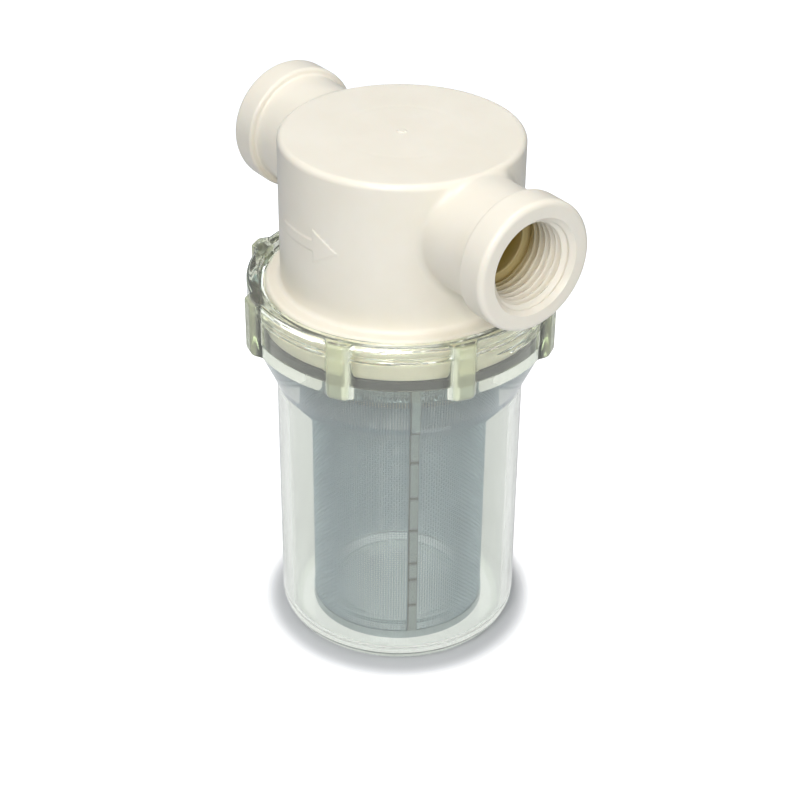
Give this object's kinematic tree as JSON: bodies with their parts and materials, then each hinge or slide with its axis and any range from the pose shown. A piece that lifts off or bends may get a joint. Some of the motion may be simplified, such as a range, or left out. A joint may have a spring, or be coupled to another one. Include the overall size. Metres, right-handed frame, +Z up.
{
  "type": "sea water strainer",
  "caption": "T-pattern inline strainer: moulded head with two opposite female threaded ports, over a clear screw-on bowl with grip lugs that holds a wire-mesh sleeve.",
  "frame": {"origin": "centre of the bowl's foot, on the face it stands on", "axes": "+Z up the axis of the bowl and head; +X along the port axis, out of the outlet port"},
  "size_m": [0.096, 0.0756, 0.1333],
  "materials": {
    "cream_plastic": "smooth moulded, low gloss",
    "clear_plastic": "polished clear with a yellow-green tint in thick sections",
    "dark_rubber": "matt",
    "steel_mesh": "woven stainless wire",
    "steel_strip": "rolled stainless strip"
  },
  "bodies": {
    "head": {"head": "cream_plastic"},
    "screen": {"screen_mesh": "steel_mesh", "screen_band_lower": "steel_strip", "screen_band_upper": "steel_strip", "screen_seam": "steel_strip"},
    "bowl": {"bowl": "clear_plastic", "gasket": "dark_rubber"}
  },
  "joints": [
    {"name": "bowl_drop", "type": "slide", "parent": "head", "child": "screen", "axis": [0, 0, -1], "range_m": [0, 0.009]},
    {"name": "bowl_turn", "type": "hinge", "parent": "screen", "child": "bowl", "pos_m": [0, 0, 0], "axis": [0, 0, -1], "range_deg": [0, 1080]}
  ],
  "couplings": [
    {"joint": "bowl_drop", "follows": "bowl_turn", "m_per_rad": 0.00047746}
  ]
}
